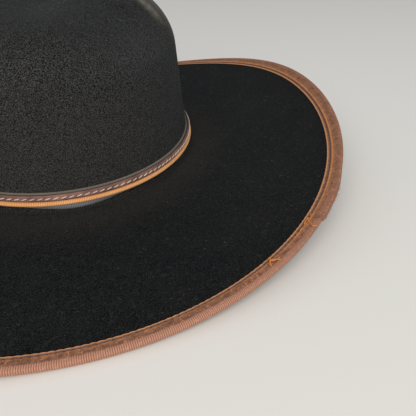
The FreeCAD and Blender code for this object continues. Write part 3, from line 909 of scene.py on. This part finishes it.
def build_strip():
    """The leather strip, whose face sinks a little at every stitch hole, and its lapped end."""
    turns = 360.0 * np.arange(BAND_STITCHES * 8) / (BAND_STITCHES * 8)
    stitch_phase = np.arange(len(turns)) / 8.0 % 1.0
    pinch = 0.16 * window(np.minimum(stitch_phase, 1 - stitch_phase), 0.25)
    section, edges = strip_section(turns, STRIP_LOW, STRIP_HIGH, STRIP_OFFSET, STRIP_THICKNESS,
                                   inner_lean=0.55)
    pinched = []
    for offset, height in section:
        near_line = window(height - BAND_STITCH_HEIGHT, 1.2)
        pinched.append((offset - pinch * near_line, height))
    made = hoop("hatband_leather", pinched, turns)
    set_attribute(made, "edge", np.repeat(np.array(edges)[:, None], len(turns), 1))
    made.data.materials.append(leather_material("band_leather", rgb(102, 68, 60), rgb(158, 118, 104),
                                                rgb(52, 32, 30)))
    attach(made, "hatband")
    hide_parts("hatband_strip")
    lap_turns = np.linspace(LAP_TURN - LAP_HALF_TURN, LAP_TURN + LAP_HALF_TURN, 60)
    section, edges = strip_section(lap_turns, STRIP_LOW - 0.4, STRIP_HIGH + 0.4,
                                   STRIP_OFFSET + STRIP_THICKNESS + 0.08, 0.9)
    rows = np.array([crown_places(offset, height, lap_turns) for offset, height in section])
    columns = rows.shape[1]
    faces = grid_faces(rows.shape[0], columns, wrap_rows=True, wrap_columns=False)
    faces.append([row * columns for row in range(rows.shape[0])][::-1])
    faces.append([row * columns + columns - 1 for row in range(rows.shape[0])])
    lap = make_object("hatband_lap_end", lifted(rows).reshape(-1, 3), faces)
    set_attribute(lap, "edge", np.repeat(np.array(edges)[:, None], columns, 1))
    lap.data.materials.append(made.data.materials[0])
    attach(lap, "hatband")
    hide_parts("hatband_lap")


def build_band_stitches():
    """Cream stitches of two twisted strands, each slanting a little across the leather."""
    paths = []
    radii = []
    strand_steps = 9
    for index in range(BAND_STITCHES):
        middle = 360.0 * (index + 0.5) / BAND_STITCHES
        face = STRIP_OFFSET + STRIP_THICKNESS - 0.9 * STRIP_LEAN
        if abs(middle - LAP_TURN) < LAP_HALF_TURN + 1.2:
            face += 1.0
        half_turn = 0.35 * 360.0 / BAND_STITCHES
        share = np.linspace(-1.0, 1.0, strand_steps)
        arch = np.sqrt(np.clip(1.0 - share ** 4, 0.0, 1.0))
        for strand in (0.0, np.pi):
            twist = strand + 5.0 * share
            offset = face - 0.16 + 0.32 * arch + 0.14 * np.cos(twist)
            height = BAND_STITCH_HEIGHT + 0.4 * share + 0.14 * np.sin(twist)
            turns = middle + half_turn * share
            paths.append(crown_places(offset, height, turns))
            radii.append(0.09 + 0.12 * arch)
    made = tube_batch("hatband_stitches", paths, radii, sides=6)
    made.data.materials.append(plain_material("band_thread", rgb(222, 211, 197), 0.7))
    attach(made, "hatband")
    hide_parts("hatband_stitching")


# ---------------------------------------------------------------- inside the crown
SWEATBAND_OFFSET = 3.1
SWEATBAND_LOW = -1.6
SWEATBAND_HIGH = 56.0
SWEATBAND_STITCHES = 200
SWEATBAND_SEAM_HEIGHT = 2.2
REED_RADIUS = 0.8


def build_sweatband():
    turns = np.linspace(0.0, 360.0, 480, endpoint=False)
    heights = np.linspace(SWEATBAND_LOW, SWEATBAND_HIGH, 40)
    angle = np.radians(turns)
    section = []
    edges = []
    for height in heights:
        ripple = 0.15 * np.sin(14 * angle + 0.1 * height) * smooth_step(height, 20.0, 56.0)
        section.append((-SWEATBAND_OFFSET - 1.0 + ripple, height + 0 * turns))
        edges.append(1.0 if height > 54.0 else 0.0)
    section.append((-SWEATBAND_OFFSET - 0.5 + 0 * turns, SWEATBAND_HIGH + 0.25 + 0 * turns))
    section.append((-SWEATBAND_OFFSET - 0.15 + 0 * turns, SWEATBAND_HIGH - 0.1 + 0 * turns))
    section.append((-SWEATBAND_OFFSET - 0.05 + 0 * turns, SWEATBAND_LOW + 0.2 + 0 * turns))
    edges.extend([1.0, 1.0, 0.5])
    made = hoop("sweatband_leather", section[::-1], turns)
    set_attribute(made, "edge", np.repeat(np.array(edges[::-1])[:, None], len(turns), 1))
    made.data.materials.append(leather_material("sweatband_leather", rgb(122, 80, 52), rgb(160, 110, 74),
                                                rgb(92, 58, 38), 260.0))
    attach(made, "hat")
    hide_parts("sweatband")


def build_reed():
    turns = np.linspace(0.0, 360.0, 360, endpoint=False)
    centre = -SWEATBAND_OFFSET + REED_RADIUS + 0.08
    section = []
    for step in range(10):
        lean = 2 * np.pi * step / 10
        section.append((centre + REED_RADIUS * math.cos(lean) + 0 * turns,
                        SWEATBAND_LOW + 0.7 + REED_RADIUS * math.sin(lean) + 0 * turns))
    made = hoop("sweatband_reed_cord", section, turns)
    made.data.materials.append(plain_material("reed", rgb(150, 128, 104), 0.6))
    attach(made, "hat")
    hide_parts("sweatband_reed")


def build_sweatband_stitches():
    count = SWEATBAND_STITCHES
    share = np.linspace(-1.0, 1.0, 6)
    paths = []
    for index in range(count):
        turns = 360.0 * (index + 0.5) / count + 0.36 * 360.0 / count * share
        arch = 0.25 * (1.0 - share ** 2)
        paths.append(crown_places(-SWEATBAND_OFFSET - 1.0 - arch, SWEATBAND_SEAM_HEIGHT + 0 * share, turns))
    made = tube_batch("sweatband_stitches", paths, [0.22] * count, sides=5)
    made.data.materials.append(plain_material("sweatband_thread", rgb(196, 170, 136), 0.7))
    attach(made, "hat")
    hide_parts("sweatband_stitching")


def build_bow():
    """Flat bow of narrow ribbon: two loops, two tails and a knot, on the sweatband at the back."""
    low, high = node_box("sweatband_bow")
    middle = 0.5 * (low + high)
    half_length = 0.5 * (high[0] - low[0])
    face = high[1] - 0.2
    width = 2.1
    vertices = []
    faces = []

    def ribbon(line, half_width):
        first = len(vertices)
        for x, out, z in line:
            for side, back in ((-1, 0), (1, 0), (1, 1), (-1, 1)):
                vertices.append((x, face - out + 0.22 * back, z + side * half_width))
        count = len(line)
        faces.extend(grid_faces(count, 4, first=first))
        faces.append([first + 3, first + 2, first + 1, first])
        last = first + 4 * (count - 1)
        faces.append([last, last + 1, last + 2, last + 3])

    for side in (-1, 1):
        loop = []
        for step in range(25):
            lean = 2 * math.pi * step / 24
            x = side * (0.8 + 0.5 * (half_length - 0.8) * (1 - math.cos(lean)))
            loop.append((x, 0.75 + 0.62 * math.sin(lean), middle[2] + 0.5 * side * math.sin(0.5 * lean)))
        ribbon(loop, width)
        tail = []
        for step in range(9):
            share = step / 8
            tail.append((side * (0.5 + 5.5 * share), 0.3 + 0.1 * math.sin(4 * share),
                         middle[2] - 1.2 - 3.2 * share))
        ribbon(tail, 1.1)
    knot = []
    for step in range(13):
        lean = math.pi * step / 12
        knot.append((1.3 * math.cos(lean), 0.3 + 1.45 * math.sin(lean), middle[2]))
    ribbon(knot, 1.4)
    made = make_object("sweatband_bow_ribbon", np.array(vertices), faces, smooth=False)
    made.data.materials.append(plain_material("bow_ribbon", rgb(92, 66, 54), 0.6))
    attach(made, "hat")
    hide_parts("sweatband_bow")


def satin_material():
    paint = Paint("satin")
    weave = paint.noise(1800.0, 2.0, 0.6, 0.0, (1.0, 1.0, 6.0))
    drift = paint.noise(40.0, 3.0, 0.5)
    colour = paint.mix(paint.levels(drift, 0.3, 0.7), rgb(104, 88, 74), rgb(132, 114, 98))
    paint.set(Base_Color=colour, Roughness=0.36, Sheen_Weight=0.4, Sheen_Roughness=0.3,
              Normal=paint.bump(weave, 0.25, 0.0002))
    paint.shader.inputs["Anisotropic"].default_value = 0.5
    return paint.material


LINER_OFFSET = 2.6
LINER_THICKNESS = 0.35
LINER_LOW = 42.0
TIP_LEVEL = 3.34
# The lining's side is a straight strip of cloth and its tip an oval. Level of the side's lower edge on the
# felt:
SIDE_LOW_LEVEL = 2.0 + (LINER_LOW - BREAK_RADIUS) / (SHOULDER_HEIGHT - BREAK_RADIUS)


def lining_skin(name, levels, gather, close_top):
    """Thin closed cloth under the felt, softly gathered into folds."""
    turns = np.linspace(0.0, 360.0, 540, endpoint=False)
    angle = np.radians(turns)
    folds = np.sin(36 * angle + 1.3 * np.sin(5 * angle)) * 0.5 + 0.5
    level_share = (levels - levels[0]) / (levels[-1] - levels[0])
    fold_depth = gather * folds[None, :] * (np.sin(np.pi * level_share) ** 0.8)[:, None]
    normals = felt_normals(levels, turns)
    points = felt_points(levels, turns)
    outer = points - normals * (LINER_OFFSET + fold_depth)[..., None]
    inner = outer - normals * LINER_THICKNESS
    if close_top:
        return domed_object(name, np.concatenate([outer[::-1], inner]))
    return ring_object(name, np.concatenate([outer, inner[::-1]]))


def build_lining():
    satin = satin_material()
    side_levels = np.concatenate([np.linspace(SIDE_LOW_LEVEL, 3.0, 12, endpoint=False),
                                  np.linspace(3.0, TIP_LEVEL - 0.01, 34)])
    side = lining_skin("lining_side", side_levels, 1.2, False)
    tip = lining_skin("lining_tip", np.linspace(TIP_LEVEL, 3.97, 50), 0.15, True)
    for made, node in ((side, "liner_side"), (tip, "liner_tip")):
        made.data.materials.append(satin)
        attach(made, "hat")
        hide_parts(node)


# ---------------------------------------------------------------- stage, lights and camera
FLOOR_HALF = 6000
FLOOR_DROP = 0.2            # below the lowest ribbon, so that the two faces don't meet
HAT_MIDDLE = (0.0, 0.0, 0.05)
CAMERA_LENS = 37.2
CAMERA_TILT = 33.29         # below level, degrees
CAMERA_ROLL = -0.39
CAMERA_TURN = -16.43


def build_stage():
    corners = [(-1, -1), (1, -1), (1, 1), (-1, 1)]
    points = [(x * FLOOR_HALF, y * FLOOR_HALF, -FLOOR_DROP) for x, y in corners]
    floor = make_object("floor", np.array(points), [[0, 1, 2, 3]])
    paint = Paint("floor")
    paint.set(Base_Color=rgb(226, 224, 219), Roughness=0.55)
    floor.data.materials.append(paint.material)


def add_area(name, place, target, size, power, colour):
    light = bpy.data.lights.new(name, "AREA")
    light.shape = "DISK"
    light.size = size
    light.energy = power
    light.color = colour
    made = bpy.data.objects.new(name, light)
    made.location = place
    aim = Vector(target) - Vector(place)
    made.rotation_euler = aim.to_track_quat("-Z", "Y").to_euler()
    bpy.context.scene.collection.objects.link(made)


def build_lights():
    world = bpy.data.worlds.new("studio")
    world.use_nodes = True
    background = world.node_tree.nodes["Background"]
    background.inputs["Color"].default_value = (0.96, 0.98, 1.0, 1.0)
    background.inputs["Strength"].default_value = 0.52
    bpy.context.scene.world = world
    add_area("window", (-0.5, -1.0, 0.85), HAT_MIDDLE, 1.1, 10.5, (1.0, 0.93, 0.85))
    add_area("fill", (1.0, -0.75, 1.15), HAT_MIDDLE, 1.5, 6.0, (0.95, 0.975, 1.0))


def build_camera():
    camera = bpy.data.cameras.new("camera")
    camera.sensor_width = 36.0
    camera.lens = CAMERA_LENS
    made = bpy.data.objects.new("camera", camera)
    made.location = (0.0154, -0.3080, BASE_Z * MM + 0.12735)
    made.rotation_euler = (math.radians(90.0 - CAMERA_TILT), math.radians(CAMERA_ROLL),
                           math.radians(CAMERA_TURN))
    bpy.context.scene.collection.objects.link(made)
    bpy.context.scene.camera = made


build_camera()
build_lights()
build_stage()
build_felt()
build_lint()
build_binding()
build_binding_stitches()
build_splice_thread()
build_fray()
build_band_ribbon()
build_backing()
build_strip()
build_band_stitches()
build_sweatband()
build_reed()
build_sweatband_stitches()
build_bow()
build_lining()
bpy.context.scene.view_settings.view_transform = "Standard"
